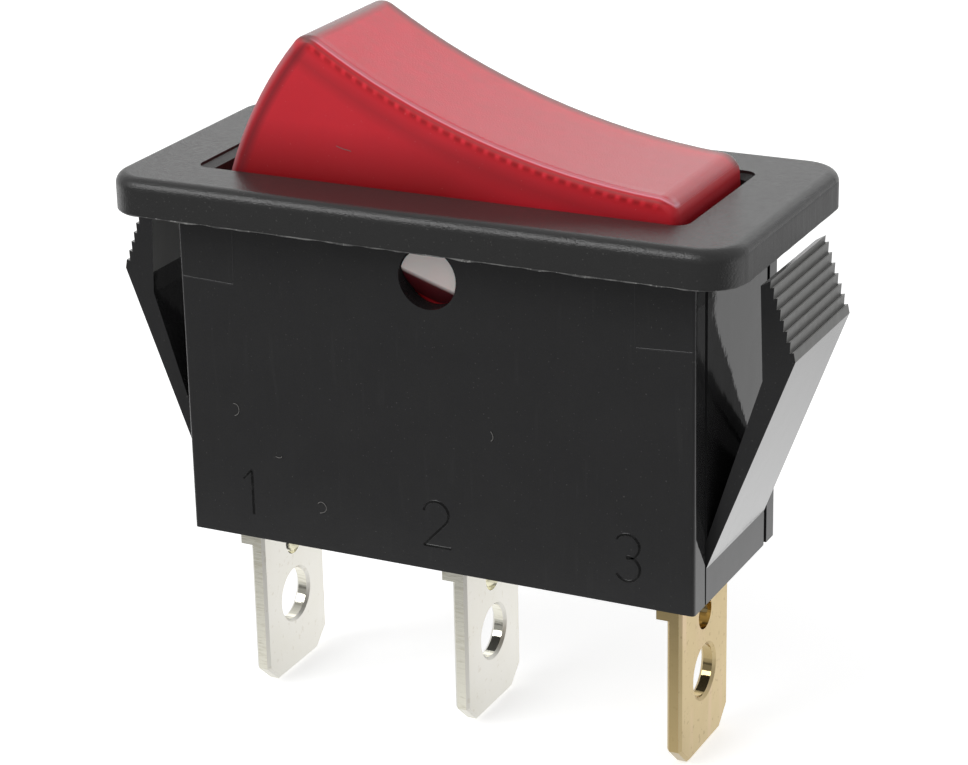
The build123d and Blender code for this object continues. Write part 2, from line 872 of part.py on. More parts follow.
# Series resistor with thicker end caps, and its lead down to the right-hand spring
resistor_end = resistor_start + resistor_length
resistor_lead_end = resistor_end + 4 * lead_bend

with BuildPart() as lamp_resistor:
    with BuildSketch(
        Plane(origin=rocker_point(0, -resistor_side, lamp_height), x_dir=along, z_dir=(0, -1, 0))
    ):
        with BuildLine():
            Polyline(
                (resistor_start, 0),
                (resistor_start, resistor_waist),
                (resistor_start + resistor_cap / 4, resistor_radius),
                (resistor_start + resistor_cap, resistor_radius),
                (resistor_start + 1.25 * resistor_cap, resistor_waist),
                (resistor_end - 1.25 * resistor_cap, resistor_waist),
                (resistor_end - resistor_cap, resistor_radius),
                (resistor_end - resistor_cap / 4, resistor_radius),
                (resistor_end, resistor_waist),
                (resistor_end, 0),
                close=True,
            )
        make_face()
    revolve(axis=Axis(rocker_point(0, -resistor_side, lamp_height), along))

with BuildPart() as resistor_lead:
    add(
        bent_wire(
            [
                (resistor_end, -resistor_side, lamp_height),
                (resistor_lead_end, -resistor_side, lamp_height),
                (resistor_lead_end, -resistor_side, -lamp_seat_drop),
                (lamp_seat, -resistor_side, -lamp_seat_drop),
                (lamp_seat, lead_tip_y, -lamp_seat_drop),
            ]
        )
    )

housing.part.label = "housing"
rocker.part.label = "rocker"
plunger.part.label = "plunger"
plunger_spring.part.label = "plunger_spring"
contact_lever.part.label = "contact_lever"
moving_contact.part.label = "moving_contact"
fixed_contact.part.label = "fixed_contact"
terminal_switched.part.label = "terminal_switched"
terminal_common.part.label = "terminal_common"
terminal_lamp.part.label = "terminal_lamp"
lamp_spring_a.part.label = "lamp_spring_a"
lamp_spring_b.part.label = "lamp_spring_b"
lamp_bulb.part.label = "lamp_bulb"
lamp_lead_a.part.label = "lamp_lead_a"
lamp_lead_b.part.label = "lamp_lead_b"
lamp_resistor.part.label = "lamp_resistor"
resistor_lead.part.label = "resistor_lead"

os.makedirs("parts", exist_ok=True)
export_step(housing.part, "parts/housing.step")
export_step(rocker.part, "parts/rocker.step")
export_step(plunger.part, "parts/plunger.step")
export_step(plunger_spring.part, "parts/plunger_spring.step")
export_step(contact_lever.part, "parts/contact_lever.step")
export_step(moving_contact.part, "parts/moving_contact.step")
export_step(fixed_contact.part, "parts/fixed_contact.step")
export_step(terminal_switched.part, "parts/terminal_switched.step")
export_step(terminal_common.part, "parts/terminal_common.step")
export_step(terminal_lamp.part, "parts/terminal_lamp.step")
export_step(lamp_spring_a.part, "parts/lamp_spring_a.step")
export_step(lamp_spring_b.part, "parts/lamp_spring_b.step")
export_step(lamp_bulb.part, "parts/lamp_bulb.step")
export_step(lamp_lead_a.part, "parts/lamp_lead_a.step")
export_step(lamp_lead_b.part, "parts/lamp_lead_b.step")
export_step(lamp_resistor.part, "parts/lamp_resistor.step")
export_step(resistor_lead.part, "parts/resistor_lead.step")
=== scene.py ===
import bmesh
import bpy
import numpy as np
from mathutils import Matrix, Vector


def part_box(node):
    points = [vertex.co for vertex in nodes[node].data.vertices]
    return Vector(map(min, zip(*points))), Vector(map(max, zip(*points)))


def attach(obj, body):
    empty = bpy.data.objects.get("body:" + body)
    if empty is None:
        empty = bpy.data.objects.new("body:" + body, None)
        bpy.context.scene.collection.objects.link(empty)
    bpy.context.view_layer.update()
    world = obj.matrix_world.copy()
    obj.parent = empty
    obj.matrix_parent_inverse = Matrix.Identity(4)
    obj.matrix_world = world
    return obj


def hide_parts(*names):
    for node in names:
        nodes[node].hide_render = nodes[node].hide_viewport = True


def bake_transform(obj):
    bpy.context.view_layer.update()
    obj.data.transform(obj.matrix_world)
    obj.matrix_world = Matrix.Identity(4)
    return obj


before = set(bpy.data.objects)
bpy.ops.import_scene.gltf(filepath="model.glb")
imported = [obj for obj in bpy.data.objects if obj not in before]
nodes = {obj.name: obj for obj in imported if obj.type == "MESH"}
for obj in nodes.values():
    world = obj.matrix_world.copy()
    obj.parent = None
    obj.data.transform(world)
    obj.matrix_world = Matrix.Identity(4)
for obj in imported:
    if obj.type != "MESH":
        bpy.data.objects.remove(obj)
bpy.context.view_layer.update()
MM = 0.001

# Housing: one black nylon moulding. The frame's face is finely sparked, the long walls are
# satin, and the end walls and wings come from polished slides, so they mirror what is near.
# Its teeth are painted paler than the nylon is, as a painted reflection standing in for what they
# mirror in the photo. Their upward ledges are painted paler still as painted light, with a stripe
# of painted shade across each.
BODY_END = 14.0 * MM
TEETH_START, TEETH_LOW = BODY_END + 2.0 * MM, -4.48 * MM
TOOTH_TIP, TOOTH_STEP = 18.25 * MM, 0.1714 * MM
BLACK, CLOUDED_BLACK = (0.0215, 0.0215, 0.0225, 1), (0.0270, 0.0270, 0.0275, 1)
SPARKED_BLACK, VALLEY_SHADE_BLACK = (0.029, 0.029, 0.029, 1), (0.010, 0.010, 0.010, 1)
TOOTH_REFLECTION_GREY, LIT_LEDGE_GREY = (0.20, 0.20, 0.195, 1), (0.40, 0.40, 0.39, 1)
SCUFF_GREY, DUST_GREY = (0.06, 0.06, 0.06, 1), (0.30, 0.29, 0.28, 1)


def wire(value, socket):
    """A number or colour is set on the socket itself, and a socket is linked to it."""
    if isinstance(value, bpy.types.NodeSocket):
        socket.id_data.links.new(value, socket)
    else:
        socket.default_value = value


def node_maker(tree):
    """A function that adds a node to the tree, with its settings and its inputs in order."""

    def node(kind, *values, **settings):
        made = tree.nodes.new("ShaderNode" + kind)
        for key, value in settings.items():
            setattr(made, key, value)
        for socket, value in zip(made.inputs, values):
            wire(value, socket)
        return made

    return node


def new_finish(name):
    """A new material, its shader, and the function that adds its nodes."""
    material = bpy.data.materials.new(name)
    material.use_nodes = True
    material.node_tree.nodes.clear()
    node = node_maker(material.node_tree)
    surface = node("BsdfPrincipled")
    node("OutputMaterial", surface.outputs["BSDF"])
    return material, surface, node


def grain(node, place, size, detail=3.0, rough=0.55):
    """Cloudy noise over the object, one cloud about size metres wide, from 0 to 1."""
    made = node("TexNoise")
    made.inputs["Scale"].default_value = 1 / size
    made.inputs["Detail"].default_value = detail
    made.inputs["Roughness"].default_value = rough
    wire(place, made.inputs["Vector"])
    return made.outputs["Fac"]


def drawn_out(node, place, stretch):
    """The object's coordinates, shrunk along each axis so that a pattern runs out along it."""
    made = node("Mapping", place)
    made.inputs["Scale"].default_value = stretch
    return made.outputs[0]


def between(node, value, low, high, new_low=0.0, new_high=1.0):
    """value as it goes from low to high, turned into new_low to new_high and held there."""
    return node("MapRange", value, low, high, new_low, new_high, clamp=True).outputs["Result"]


def maths(node, kind, *values):
    """One sum on numbers."""
    return node("Math", *values, operation=kind).outputs[0]


def near(node, value, centre, half):
    """1 where value is at the centre, falling to 0 at half away from it."""
    away = maths(node, "ABSOLUTE", maths(node, "SUBTRACT", value, centre))
    return between(node, away, 0.0, half, 1.0, 0.0)


def tint(node, share, first, second):
    """The first colour, going over to the second as share goes from 0 to 1."""
    made = node("Mix", data_type="RGBA")
    for value, socket in zip((share, first, second), (made.inputs[0], made.inputs[6], made.inputs[7])):
        wire(value, socket)
    return made.outputs[2]


def relief(node, heights):
    """Small bumps one over the other, each a height socket with its depth in metres."""
    normal = None
    for height, depth in heights:
        bump = node("Bump", 1.0, depth)
        wire(height, bump.inputs["Height"])
        if normal is not None:
            wire(normal, bump.inputs["Normal"])
        normal = bump.outputs["Normal"]
    return normal


def wear(obj, material):
    """Gives a piece its one material."""
    obj.data.materials.clear()
    obj.data.materials.append(material)


nylon, surface, node = new_finish("black_nylon")
coords = node("TexCoord")
place = coords.outputs["Object"]
facing = node("SeparateXYZ", coords.outputs["Normal"])
spot = node("SeparateXYZ", place)
endward = maths(node, "ABSOLUTE", facing.outputs["X"])
sideward = maths(node, "ABSOLUTE", facing.outputs["Y"])
outward = maths(node, "ABSOLUTE", spot.outputs["X"])
on_end = between(node, endward, 0.8, 0.9)
past_end = between(node, outward, BODY_END - 0.05 * MM, BODY_END)
below = between(node, spot.outputs["Z"], -0.05 * MM, -0.15 * MM)
polished = maths(node, "MULTIPLY", maths(node, "MULTIPLY", on_end, past_end), below)
on_frame = between(node, spot.outputs["Z"], -0.02 * MM, 0.05 * MM)
sparks = grain(node, place, 0.10 * MM, 2.0, 0.7)
clouds = grain(node, place, 2.4 * MM, 4.0, 0.6)
dust = between(node, grain(node, place, 0.13 * MM, 1.0, 0.4), 0.72, 0.78)
scuffs = grain(node, drawn_out(node, place, (1.0, 1.0, 0.10)), 0.5 * MM, 3.0, 0.6)
scuffs = between(node, scuffs, 0.60, 0.75)
streaks = grain(node, drawn_out(node, place, (1.0, 1.0, 0.05)), 0.30 * MM, 3.0, 0.6)
tone = tint(node, clouds, BLACK, CLOUDED_BLACK)
tone = tint(node, on_frame, tone, SPARKED_BLACK)
outside = between(node, outward, TEETH_START - 0.1 * MM, TEETH_START + 0.1 * MM)
above_band = between(node, spot.outputs["Z"], TEETH_LOW - 0.02 * MM, TEETH_LOW + 0.02 * MM)
not_flank = between(node, sideward, 0.6, 0.4)
toothed = maths(node, "MULTIPLY", maths(node, "MULTIPLY", outside, above_band), below)
toothed = maths(node, "MULTIPLY", toothed, not_flank)
# Painted reflection on the teeth, painted light on their upward ledges, and a stripe of painted shade
# across each ledge.
tone = tint(node, toothed, tone, TOOTH_REFLECTION_GREY)
lit_ledge = maths(node, "MULTIPLY", toothed, between(node, facing.outputs["Z"], 0.7, 0.85))
tone = tint(node, lit_ledge, tone, LIT_LEDGE_GREY)
in_from_tip = maths(node, "SUBTRACT", TOOTH_TIP, outward)
step_place = maths(node, "FRACT", maths(node, "DIVIDE", in_from_tip, TOOTH_STEP))
valley_shade = maths(node, "MULTIPLY", lit_ledge, between(node, step_place, 0.60, 0.80))
tone = tint(node, valley_shade, tone, VALLEY_SHADE_BLACK)
tone = tint(node, maths(node, "MULTIPLY", scuffs, 0.10), tone, SCUFF_GREY)
tone = tint(node, maths(node, "MULTIPLY", dust, 0.12), tone, DUST_GREY)
wire(tone, surface.inputs["Base Color"])
on_wall = between(node, endward, 0.96, 0.98)
slick = maths(node, "MULTIPLY", polished, maths(node, "SUBTRACT", 1.0, toothed))
satin = between(node, sparks, 0.3, 0.7, 0.42, 0.52)
gloss = between(node, streaks, 0.3, 0.7, 0.13, 0.24)
gloss = maths(node, "ADD", gloss, maths(node, "MULTIPLY", on_wall, 0.24))
wire(node("Mix", slick, satin, gloss).outputs[0], surface.inputs["Roughness"])
surface.inputs["IOR"].default_value = 1.53
coat = maths(node, "MULTIPLY", slick, between(node, on_wall, 0.0, 1.0, 0.50, 0.0))
wire(coat, surface.inputs["Coat Weight"])
surface.inputs["Coat IOR"].default_value = 1.75
surface.inputs["Coat Roughness"].default_value = 0.14
grain_depth = maths(node, "MULTIPLY", sparks, between(node, on_frame, 0.0, 1.0, 0.35, 1.0))
grain_depth = maths(node, "MULTIPLY", grain_depth, between(node, slick, 0.0, 1.0, 1.0, 0.05))
streak_depth = maths(node, "MULTIPLY", streaks, slick)
wire(
    relief(node, [(grain_depth, 0.026 * MM), (streak_depth, 0.0018 * MM), (clouds, 0.012 * MM)]),
    surface.inputs["Normal"],
)
wear(nodes["housing"], nylon)

# Mould flash: where the two halves of the tool meet, a thin skin of nylon hangs on the frame's
# lower edge, uneven in depth and shallower at the ends. Its pale patches and nicks are painted
# light, where the thin skin catches the light.
FRAME_LENGTH, FRAME_WIDTH, FRAME_CORNER = 33.6 * MM, 16.0 * MM, 2.1 * MM
CORNER_POINTS = 10
FLASH_STEP, FLASH_THICK = 0.12 * MM, 0.05 * MM
FLASH_MEAN, FLASH_LEAST, FLASH_MOST = 0.06 * MM, 0.015 * MM, 0.11 * MM
FLASH_FADE, FLASH_AT_ENDS = (14.5 * MM, 16.0 * MM), 0.35
FLASH_SEED, FLASH_TURNS, WAVE_COUNT = 5, (12, 80), 14
SKIN_BLACK, LIT_FLASH_GREY, LIT_NICK_GREY = (0.05, 0.05, 0.05, 1), (0.17, 0.17, 0.165, 1), (0.30, 0.30, 0.29, 1)


def skin(name, grid, loop=False):
    """A mesh over a grid of points, its columns closed round the piece and its rows running
    along it. The rows either join up in a loop or end in two flat caps."""
    rows, columns = grid.shape[:2]
    index = np.arange(rows * columns).reshape(rows, columns)
    if loop:
        index = np.vstack([index, index[:1]])
    index = np.hstack([index, index[:, :1]])
    quads = np.stack([index[:-1, :-1], index[:-1, 1:], index[1:, 1:], index[1:, :-1]], axis=-1)
    faces = quads.reshape(-1, 4).tolist()
    if not loop:
        faces.append(index[0, :-1].tolist())
        faces.append(index[-1, :-1].tolist())
    mesh = bpy.data.meshes.new(name)
    mesh.from_pydata(grid.reshape(-1, 3).tolist(), [], faces)
    outward = bmesh.new()
    outward.from_mesh(mesh)
    bmesh.ops.recalc_face_normals(outward, faces=outward.faces)
    outward.to_mesh(mesh)
    outward.free()
    piece = bpy.data.objects.new(name, mesh)
    bpy.context.scene.collection.objects.link(piece)
    return piece


def evenly(points, step, loop=False):
    """Points spaced about a step apart along a path of straight runs, by its running length."""
    points = np.asarray(points, float)
    if loop:
        points = np.vstack([points, points[:1]])
    length = np.concatenate([[0], np.cumsum(np.linalg.norm(np.diff(points, axis=0), axis=1))])
    count = max(2, int(length[-1] / step))
    marks = np.linspace(0, length[-1], count, endpoint=not loop)
    return np.stack([np.interp(marks, length, points[:, i]) for i in range(points.shape[1])], axis=1)


def rounded_outline(half_x, half_y, radius):
    """Corner arcs of a rounded rectangle, a quarter turn about each corner's centre in turn."""
    turn = np.linspace(0, np.pi / 2, CORNER_POINTS)
    corners = []
    for i, (sign_x, sign_y) in enumerate(((1, 1), (-1, 1), (-1, -1), (1, -1))):
        angle = turn + i * np.pi / 2
        corners.append(
            np.stack(
                [
                    sign_x * (half_x - radius) + radius * np.cos(angle),
                    sign_y * (half_y - radius) + radius * np.sin(angle),
                ],
                axis=1,
            )
        )
    return np.vstack(corners)


def wander(count, seed, waves):
    """Smooth seeded noise from -1 to 1 along a loop: a few sine waves of whole numbers of turns."""
    chance = np.random.default_rng(seed)
    along = np.linspace(0, 2 * np.pi, count, endpoint=False)
    turns = chance.integers(waves[0], waves[1], WAVE_COUNT)[:, None]
    phase = chance.uniform(0, 2 * np.pi, WAVE_COUNT)[:, None]
    total = np.sin(turns * along + phase).sum(axis=0)
    return total / np.abs(total).max()


edge = evenly(rounded_outline(FRAME_LENGTH / 2, FRAME_WIDTH / 2, FRAME_CORNER), FLASH_STEP, loop=True)
count = len(edge)
at_ends = np.interp(np.abs(edge[:, 0]), FLASH_FADE, [1.0, FLASH_AT_ENDS])
drop = FLASH_MEAN + FLASH_MEAN * wander(count, FLASH_SEED, FLASH_TURNS)
drop = at_ends * drop.clip(FLASH_LEAST, FLASH_MOST)
inner = 1 - FLASH_THICK / (FRAME_WIDTH / 2)
flash_grid = np.zeros((count, 4, 3))
for column, (share, height) in enumerate(((1, 0.0), (1, 1.0), (inner, 1.0), (inner, 0.0))):
    flash_grid[:, column, 0] = edge[:, 0] * share
    flash_grid[:, column, 1] = edge[:, 1] * share
    flash_grid[:, column, 2] = -height * drop
flash = skin("mould_flash", flash_grid, loop=True)
lit_flash, surface, node = new_finish("lit_flash_nylon")
place = node("TexCoord").outputs["Object"]
torn = between(node, grain(node, place, 0.9 * MM, 3.0, 0.6), 0.42, 0.60)
nicks = between(node, grain(node, place, 0.22 * MM, 2.0, 0.6), 0.60, 0.68)
# The pale grey patches and nicks are painted light on the thin skin.
tone = tint(node, torn, SKIN_BLACK, LIT_FLASH_GREY)
wire(tint(node, nicks, tone, LIT_NICK_GREY), surface.inputs["Base Color"])
surface.inputs["Roughness"].default_value = 0.55
wear(flash, lit_flash)
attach(flash, "housing")

# Marks on the front wall: plain numbers over the three blades, in fine polished strokes, and
# the faint outlines that the tool's corner inserts leave on the wall. The numbers' strokes are
# painted darker than the wall, as the painted shade of engraved strokes.
BODY_SIDE = 5.45 * MM
NUMBER_HEIGHT, NUMBER_FOOT = 2.45 * MM, -16.3 * MM
NUMBER_PLACES = (-10.4 * MM, 0.15 * MM, 10.5 * MM)
STROKE_WIDTH, STROKE_HEIGHT = 0.16 * MM, 0.022 * MM
LINE_WIDTH, LINE_HEIGHT = 0.07 * MM, 0.006 * MM
ARC_POINTS = 24
POLISHED_STROKE_SHADE, WORN_STROKE_SHADE = (0.003, 0.003, 0.003, 1), (0.012, 0.012, 0.012, 1)
INSERT_LINES = (
    ((10.95, -0.3), (10.96, -4.2), (13.85, -4.05)),
    ((-10.8, -0.3), (-10.9, -3.9), (-13.85, -3.8)),
)


def arc(centre, radius, start, end):
    """Points on part of a circle, as centre plus radius times cosine and sine, in degrees."""
    angle = np.radians(np.linspace(start, end, ARC_POINTS))
    return np.stack([centre[0] + radius * np.cos(angle), centre[1] + radius * np.sin(angle)], axis=1)


def carried(name, path, profile, up, loop=False):
    """A profile carried along a path: at each point one direction lies across both the path and
    up, and the other stands on the path, nearest to up. A section is the point plus the
    profile's two distances along those directions."""
    if loop:
        tangent = np.roll(path, -1, axis=0) - np.roll(path, 1, axis=0)
    else:
        tangent = np.gradient(path, axis=0)
    tangent /= np.linalg.norm(tangent, axis=1, keepdims=True)
    side = np.cross(tangent, up)
    side /= np.linalg.norm(side, axis=1, keepdims=True)
    lift = np.cross(side, tangent)
    profile = np.asarray(profile)
    grid = path[:, None] + profile[None, :, :1] * side[:, None] + profile[None, :, 1:] * lift[:, None]
    return skin(name, grid, loop)


def joined(name, pieces):
    """Several meshes made one piece."""
    with bpy.context.temp_override(active_object=pieces[0], selected_editable_objects=pieces):
        bpy.ops.object.join()
    pieces[0].name = name
    return pieces[0]


def wall_stroke(name, points, width, height):
    """A low ridge on the front wall along points given across and up the wall: its section is
    flat on top, with sloping flanks."""
    flat = evenly(points, width / 3)
    path = np.stack([flat[:, 0], np.full(len(flat), -BODY_SIDE), flat[:, 1]], axis=1)
    section = [(-width / 2, -height), (-width / 2, 0), (-width / 3, height), (width / 3, height)]
    section += [(width / 2, 0), (width / 2, -height)]
    return carried(name, path, section, (0, -1, 0))


one = np.array([(-0.2, 0.78), (0.0, 1.0), (0.0, 0.0)])
two = np.vstack([arc((0, 0.72), 0.28, 170, -38), [(-0.3, 0.0), (0.32, 0.0)]])
three = np.vstack([arc((0, 0.74), 0.26, 150, -90), arc((0, 0.26), 0.27, 90, -150)])
strokes = []
for x, figure in zip(NUMBER_PLACES, (one, two, three)):
    points = figure * NUMBER_HEIGHT + (x, NUMBER_FOOT)
    strokes.append(wall_stroke("number", points, STROKE_WIDTH, STROKE_HEIGHT))
numbers = joined("terminal_numbers", strokes)
shaded_strokes, surface, node = new_finish("polished_shaded_nylon")
place = node("TexCoord").outputs["Object"]
worn = between(node, grain(node, place, 0.35 * MM, 3.0, 0.6), 0.45, 0.75)
# The strokes' near-black is painted shade, a little less dark where worn.
wire(tint(node, worn, POLISHED_STROKE_SHADE, WORN_STROKE_SHADE), surface.inputs["Base Color"])
wire(between(node, worn, 0.0, 1.0, 0.22, 0.40), surface.inputs["Roughness"])
wear(numbers, shaded_strokes)
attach(numbers, "housing")

lines = [wall_stroke("line", np.array(points) * MM, LINE_WIDTH, LINE_HEIGHT) for points in INSERT_LINES]
inserts = joined("insert_lines", lines)
wear(inserts, nylon)
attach(inserts, "housing")

# Rocker: one hollow moulding in translucent red, frosted on top and smoother on its sides.
# Fine prisms under its top spread the lamp's light. From the side, the light they catch is painted
# in as a glow band with a row of bright beads and shaded gaps, with a painted dark line above it
# and a band of painted shade lower down.
# Distances are taken in its own tilted directions: along, across, and depth below its top.
TILT = np.radians(18)
PIVOT_HEIGHT = -2.2 * MM
TOP_HEIGHT, TOP_RADIUS = 7.33 * MM, 40 * MM
ROCKER_SIDE = 4.25 * MM
END_CREST, END_LEAN = 8.65 * MM, 0.187
END_MIDDLE, END_HALF, END_SWELL, END_REACH = 3.57 * MM, 5.08 * MM, 0.66 * MM, 10.91 * MM
BEAD_PITCH, BEAD_DEPTH = 0.63 * MM, 0.44 * MM
DULL_DEPTH, LINE_DEPTH = 1.35 * MM, 0.24 * MM
FRONT_LIP, REAR_LIP, LEFT_LIP = (-3.3 * MM, -3.6 * MM), (3.2 * MM, 3.8 * MM), (-9.3 * MM, -9.85 * MM)
BOSS_ROOT, BOSS_TIP = (4.35 * MM, 4.40 * MM), (5.12 * MM, 5.33 * MM)
SIDE_RED, CLOUDED_SIDE = (0.62, 0.010, 0.024, 1), (0.74, 0.018, 0.036, 1)
LOW_SHADE_SIDE, SUNK_SIDE = (0.36, 0.010, 0.018, 1), (0.32, 0.001, 0.004, 1)
END_SHADE, LINE_SHADE = (0.20, 0.012, 0.020, 1), (0.34, 0.002, 0.006, 1)
GLOW_BAND_RED, GAP_SHADE_RED, BEAD_GLOW_RED = (0.62, 0.003, 0.012, 1), (0.24, 0.002, 0.006, 1), (0.88, 0.030, 0.055, 1)
RAISED_TOP, REAR_TOP = (0.92, 0.050, 0.085, 1), (0.90, 0.045, 0.065, 1)
PRESSED_TOP_SHEEN, MOTTLED_TOP = (0.66, 0.080, 0.105, 1), (0.52, 0.080, 0.090, 1)
LIP_SHEEN_PINK, RIM_HIGHLIGHT_PINK, LINT_PINK = (0.74, 0.22, 0.26, 1), (0.92, 0.36, 0.44, 1), (0.75, 0.45, 0.45, 1)
GREY_RIM_REFLECTION, GREY_CORNER_REFLECTION = (0.18, 0.10, 0.095, 1), (0.38, 0.19, 0.21, 1)
BOSS_SHADE, BOSS_REFLECTION = (0.07, 0.003, 0.006, 1), (0.72, 0.66, 0.64, 1)
red, surface, node = new_finish("red_translucent")
coords = node("TexCoord")
place = coords.outputs["Object"]
level = node("Mapping", place, vector_type="POINT")
level.inputs["Rotation"].default_value = (0, -TILT, 0)
level.inputs["Location"].default_value = (
    PIVOT_HEIGHT * np.sin(TILT),
    0,
    -PIVOT_HEIGHT * np.cos(TILT),
)
facing = node("SeparateXYZ", coords.outputs["Normal"])
upward = maths(node, "MULTIPLY", facing.outputs["Z"], np.cos(TILT))
upward = maths(node, "MULTIPLY_ADD", facing.outputs["X"], np.sin(TILT), upward)
own = node("SeparateXYZ", level.outputs[0])
along, across, height = own.outputs
bow = maths(node, "DIVIDE", maths(node, "MULTIPLY", along, along), 2 * TOP_RADIUS)
depth = maths(node, "SUBTRACT", maths(node, "ADD", bow, TOP_HEIGHT), height)
end_slope = maths(node, "MULTIPLY", maths(node, "SUBTRACT", END_CREST, height), END_LEAN)
end_bow = maths(node, "DIVIDE", maths(node, "SUBTRACT", height, END_MIDDLE), END_HALF)
end_bow = maths(node, "MULTIPLY_ADD", maths(node, "MULTIPLY", end_bow, end_bow), -END_SWELL, END_REACH)
end_reach = maths(node, "ADD", end_slope, end_bow)
from_end = maths(node, "SUBTRACT", end_reach, maths(node, "ABSOLUTE", along))
out = maths(node, "ABSOLUTE", across)
from_side = maths(node, "SUBTRACT", ROCKER_SIDE, out)
sparks = grain(node, place, 0.10 * MM, 2.0, 0.6)
clouds = grain(node, place, 3.2 * MM, 3.0, 0.5)
mottle = grain(node, place, 0.9 * MM, 3.0, 0.6)
side_red = tint(node, clouds, SIDE_RED, CLOUDED_SIDE)
# Painted light and shade on the side: a glow band with bright beads and shaded gaps, a painted dark line
# above it, and a wide band of painted shade lower down.
low_shade = maths(node, "MULTIPLY", near(node, depth, DULL_DEPTH, 0.62 * MM), 0.45)
side_red = tint(node, low_shade, side_red, LOW_SHADE_SIDE)
# The shade low down on the side and beside the raised end is painted in to match the photo.
shade_height = node("SeparateXYZ", place).outputs["Z"]
sunk = between(node, shade_height, 4.6 * MM, 1.9 * MM)
sunk = maths(node, "MULTIPLY", sunk, between(node, along, 4.5 * MM, -1.0 * MM, 0.15, 0.85))
side_red = tint(node, sunk, side_red, SUNK_SIDE)
raised_end = between(node, along, 1.0 * MM, -1.0 * MM)
end_shadow = maths(node, "MULTIPLY", raised_end, 0.75)
end_shadow = maths(node, "MULTIPLY", near(node, from_end, 0.62 * MM, 0.40 * MM), end_shadow)
side_red = tint(node, end_shadow, side_red, END_SHADE)
beads = maths(node, "COSINE", maths(node, "MULTIPLY", along, 2 * np.pi / BEAD_PITCH))
inward = between(node, from_end, 0.6 * MM, 0.9 * MM)
glow_band = maths(node, "MULTIPLY", near(node, depth, BEAD_DEPTH, 0.42 * MM), inward)
side_red = tint(node, glow_band, side_red, GLOW_BAND_RED)
row = maths(node, "MULTIPLY", near(node, depth, BEAD_DEPTH, 0.22 * MM), inward)
uneven = between(node, mottle, 0.30, 0.65, 0.35, 1.0)
row = maths(node, "MULTIPLY", row, uneven)
gap_shade = maths(node, "MULTIPLY", row, between(node, beads, 0.3, -0.8, 0.0, 0.6))
side_red = tint(node, gap_shade, side_red, GAP_SHADE_RED)
bead_glow = maths(node, "MULTIPLY", row, between(node, beads, 0.1, 0.9))
side_red = tint(node, bead_glow, side_red, BEAD_GLOW_RED)
dark_line = maths(node, "MULTIPLY", near(node, depth, LINE_DEPTH, 0.10 * MM), 0.6)
side_red = tint(node, dark_line, side_red, LINE_SHADE)
# The top is painted brighter than the sides, and paler and pinker towards the pressed end, as painted
# light and a painted sheen of the white light on its frosted face.
top_red_and_sheen = tint(node, between(node, along, -8.0 * MM, 9.0 * MM), RAISED_TOP, PRESSED_TOP_SHEEN)
rear = maths(node, "MULTIPLY", between(node, across, 1.8 * MM, 3.6 * MM), 0.6)
top_red_and_sheen = tint(node, rear, top_red_and_sheen, REAR_TOP)
top_red_and_sheen = tint(node, between(node, mottle, 0.35, 0.75, 0.0, 0.25), top_red_and_sheen, MOTTLED_TOP)
on_top = between(node, upward, 0.68, 0.80)
body_red = tint(node, on_top, side_red, top_red_and_sheen)
# The real edges are nearly sharp and the mesh rounds them more, so the top's colour and its painted
# sheen run over the rounding, a painted highlight is drawn as a pale line where the real front edge
# lies, and grey painted reflections lie on the rear and left rims.
in_front = between(node, across, *FRONT_LIP)
lip_sheen = maths(node, "MULTIPLY", in_front, on_top)
lip_sheen = maths(node, "MULTIPLY", lip_sheen, between(node, upward, 0.995, 0.93))
body_red = tint(node, lip_sheen, body_red, LIP_SHEEN_PINK)
rim_highlight = maths(node, "MULTIPLY", in_front, near(node, upward, 0.79, 0.08))
body_red = tint(node, rim_highlight, body_red, RIM_HIGHLIGHT_PINK)
rear_lip = between(node, across, *REAR_LIP)
rear_lip = maths(node, "MULTIPLY", rear_lip, between(node, upward, 0.5, 0.8))
left_lip = between(node, along, *LEFT_LIP)
left_lip = maths(node, "MULTIPLY", left_lip, between(node, upward, 0.3, 0.7))
grey_rim_reflection = maths(node, "MULTIPLY", maths(node, "MAXIMUM", rear_lip, left_lip), 0.85)
body_red = tint(node, grey_rim_reflection, body_red, GREY_RIM_REFLECTION)
# A grey painted reflection on the rounded upright corner by the raised end.
near_side = between(node, from_side, 0.40 * MM, 0.10 * MM)
near_end = between(node, from_end, 0.42 * MM, 0.10 * MM)
corner = maths(node, "MULTIPLY", near_end, between(node, depth, 0.5 * MM, 1.2 * MM))
corner = maths(node, "MULTIPLY", corner, raised_end)
corner = maths(node, "MULTIPLY", near_side, corner)
body_red = tint(node, maths(node, "MULTIPLY", corner, 0.8), body_red, GREY_CORNER_REFLECTION)
# The boss is painted dark red on its side as painted shade, and pale on its end, palest high up, as a
# painted reflection.
boss_shade = between(node, out, *BOSS_ROOT)
body_red = tint(node, boss_shade, body_red, BOSS_SHADE)
boss_end_reflection = between(node, out, *BOSS_TIP)
boss_end_reflection = maths(node, "MULTIPLY", boss_end_reflection, between(node, height, -0.9 * MM, 1.2 * MM, 0.75, 1.0))
body_red = tint(node, boss_end_reflection, body_red, BOSS_REFLECTION)
lint = between(node, grain(node, place, 0.10 * MM, 1.0, 0.4), 0.78, 0.82)
body_red = tint(node, maths(node, "MULTIPLY", lint, 0.25), body_red, LINT_PINK)
wire(body_red, surface.inputs["Base Color"])
side_rough = between(node, clouds, 0.3, 0.7, 0.26, 0.34)
wire(node("Mix", on_top, side_rough, 0.46).outputs[0], surface.inputs["Roughness"])
surface.inputs["IOR"].default_value = 1.50
surface.inputs["Subsurface Weight"].default_value = 0.35
surface.inputs["Subsurface Radius"].default_value = (1.0, 0.15, 0.12)
surface.inputs["Subsurface Scale"].default_value = 0.6 * MM
frost = maths(node, "MULTIPLY", sparks, between(node, on_top, 0.0, 1.0, 0.35, 1.0))
